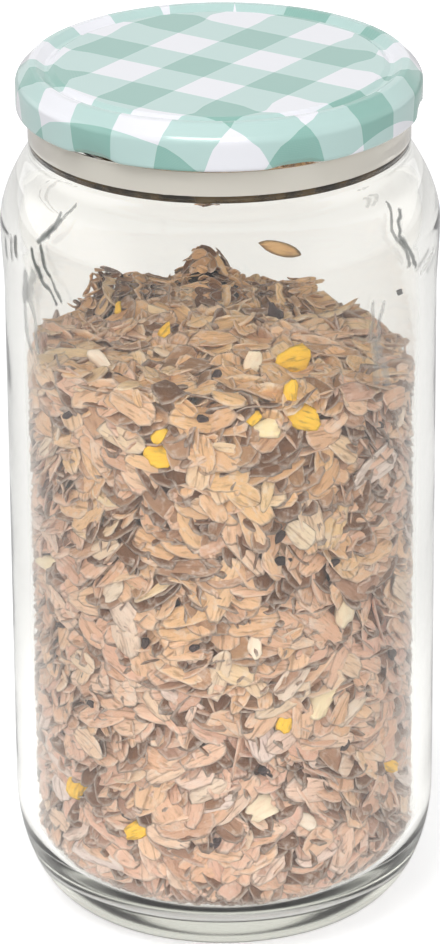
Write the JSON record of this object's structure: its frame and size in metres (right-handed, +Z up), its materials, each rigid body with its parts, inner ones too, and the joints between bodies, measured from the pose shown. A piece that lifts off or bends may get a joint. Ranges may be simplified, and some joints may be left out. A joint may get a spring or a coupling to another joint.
{
  "type": "storage jar",
  "caption": "Tall round clear glass storage jar with a twist off metal lid, filled with rolled oats.",
  "frame": {"origin": "centre of the jar's foot, on the surface that it stands on", "axes": "+Z up along the jar's axis, -Y towards the front that the picture shows"},
  "size_m": [0.0932, 0.0932, 0.1901],
  "materials": {
    "glass": "clear flint glass, polished",
    "lid_enamel": "gloss enamel print, white and mint gingham",
    "seal": "smooth matt sealing compound",
    "oats": "dry matt rolled grain",
    "maize": "dry matt yellow maize",
    "seed": "dry matt dark seed",
    "husk": "dry papery husk"
  },
  "bodies": {
    "jar": {"jar_glass": "glass", "oat_bed": "oats", "oat_flakes_wall": "oats", "oat_flakes_heap": "oats", "yellow_bits": "maize", "dark_seeds": "seed", "pale_husks": "husk", "clinging_husk": "husk"},
    "lid_lifter": {"sealing_ring": "seal"},
    "lid": {"lid_shell": "lid_enamel"}
  },
  "joints": [
    {"name": "lid_lift", "type": "slide", "parent": "jar", "child": "lid_lifter", "axis": [0, 0, 1], "range_m": [0, 0.06]},
    {"name": "lid_twist", "type": "hinge", "parent": "lid_lifter", "child": "lid", "pos_m": [0, 0, 0.1854], "axis": [0, 0, 1], "range_deg": [-40, 0]}
  ]
}
